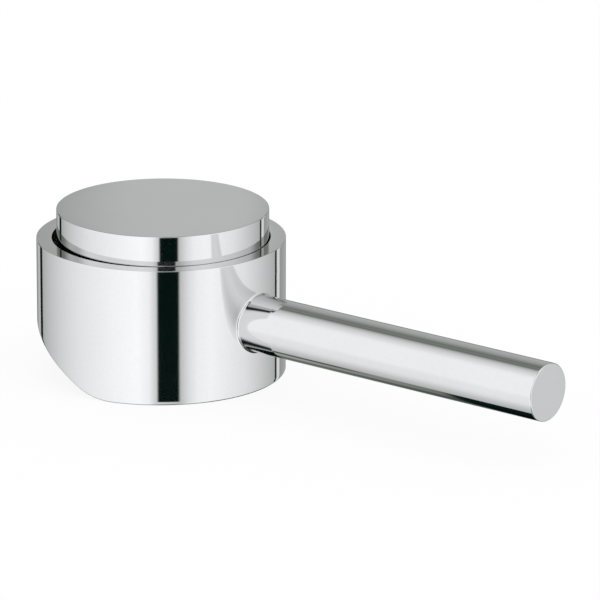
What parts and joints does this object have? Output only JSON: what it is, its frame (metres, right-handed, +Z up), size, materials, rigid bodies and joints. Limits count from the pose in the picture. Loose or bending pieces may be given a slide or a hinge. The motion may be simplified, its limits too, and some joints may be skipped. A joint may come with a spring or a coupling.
{
  "type": "tap handle",
  "caption": "Round chromed mixer tap handle with a straight pin lever on its side, a raised round top cap in a shadow gap and a square stem socket under its deck.",
  "frame": {"origin": "on the axis of the round body and of the stem socket, in the plane of the body's lower rim", "axes": "+X along the lever, away from the body; +Z up, from the rim to the cap; +Y completes the right-handed frame"},
  "size_m": [0.1258, 0.052, 0.035],
  "materials": {
    "chrome_casting": "polished chrome plate on zinc",
    "chrome_cap": "polished chrome plate on zinc",
    "black_rubber": "moulded",
    "screw_steel": "plain stainless"
  },
  "bodies": {
    "root": {"handle_body": "chrome_casting", "top_cap": "chrome_cap", "cap_o_ring": "black_rubber", "fixing_screw": "screw_steel"}
  },
  "joints": []
}
